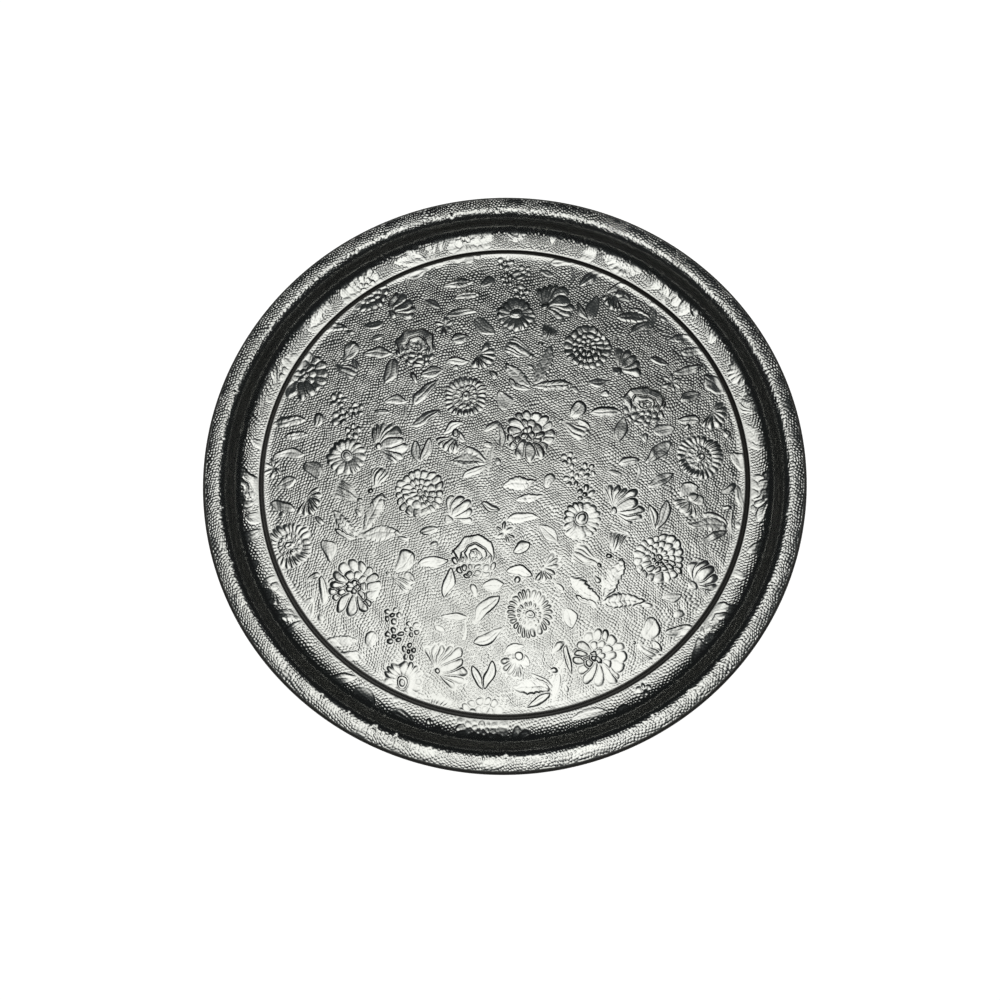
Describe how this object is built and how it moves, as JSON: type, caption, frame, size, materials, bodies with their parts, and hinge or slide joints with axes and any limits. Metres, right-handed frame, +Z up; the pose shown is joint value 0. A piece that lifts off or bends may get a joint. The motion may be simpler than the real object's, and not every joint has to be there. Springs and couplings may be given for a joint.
{
  "type": "round serving tray",
  "caption": "Shallow round tin serving tray pressed from embossed sheet, with a foot bead, a hollow-curved wall and a level lip whose edge is curled round a stiffening wire.",
  "frame": {"origin": "on the axis of the tray, in the plane that its foot bead stands on", "axes": "+Z up along the axis of the tray; X and Y level, with -Y towards the side that the picture is taken from"},
  "size_m": [0.35, 0.35, 0.0186],
  "materials": {
    "tinplate": "satin, embossed all over with scattered flowers on a pebbled ground",
    "steel_wire": "drawn wire"
  },
  "bodies": {
    "root": {"pressed_sheet": "tinplate", "rim_wire": "steel_wire"}
  },
  "joints": []
}
